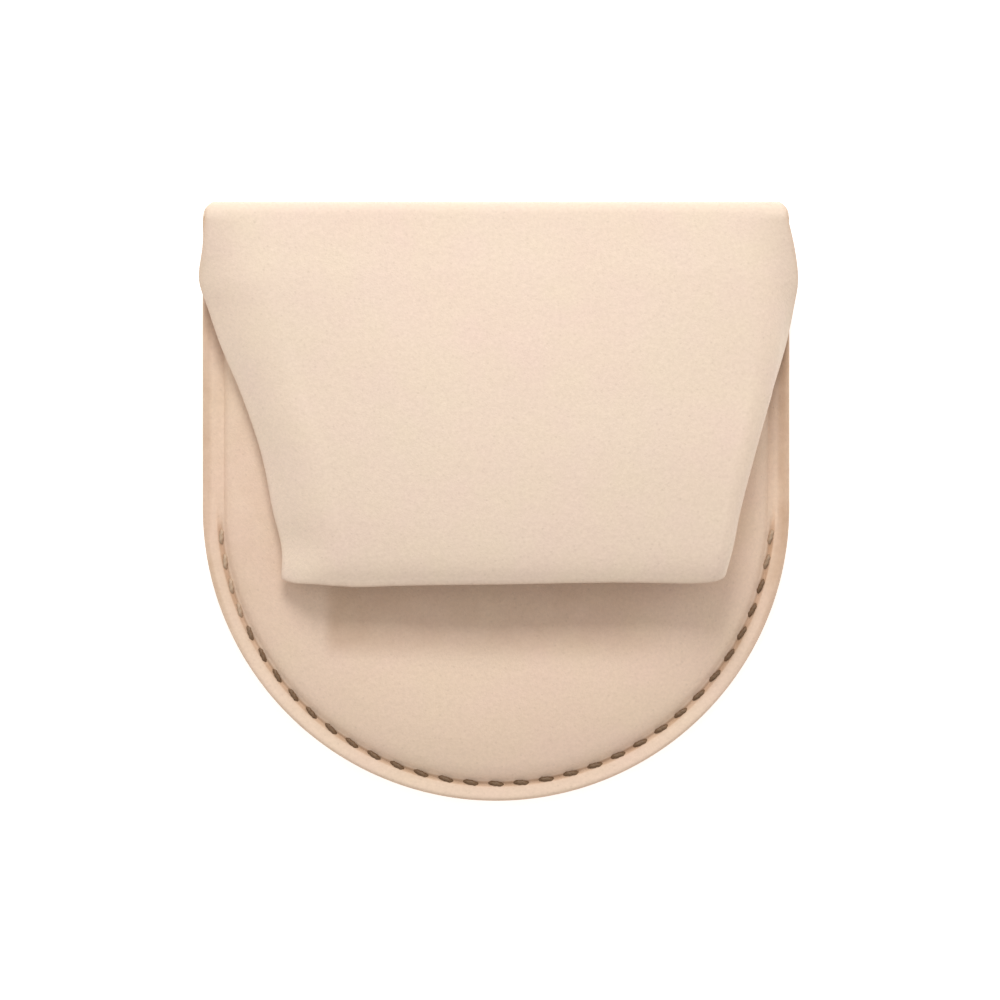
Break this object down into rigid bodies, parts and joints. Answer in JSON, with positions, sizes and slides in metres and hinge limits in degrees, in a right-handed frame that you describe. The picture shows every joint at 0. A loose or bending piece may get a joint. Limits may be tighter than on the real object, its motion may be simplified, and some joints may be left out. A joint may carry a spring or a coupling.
{
  "type": "leather coin case",
  "caption": "U-shaped case of natural leather with a moulded coin pocket and a stand-off flap whose margins turn back, closed and lying on its back.",
  "frame": {"origin": "under the middle of the case's outline, on the surface that its back lies on", "axes": "+X across the case, +Y towards the fold, +Z out of the front"},
  "size_m": [0.0902, 0.09, 0.0185],
  "materials": {
    "leather_back_and_flap": "natural vegetable-tanned hide, smooth matt grain, undyed",
    "leather_front": "natural vegetable-tanned hide, smooth matt grain, undyed",
    "seam_thread": "brown waxed linen thread"
  },
  "bodies": {
    "root": {"back_and_flap": "leather_back_and_flap", "front_panel": "leather_front"}
  },
  "joints": []
}
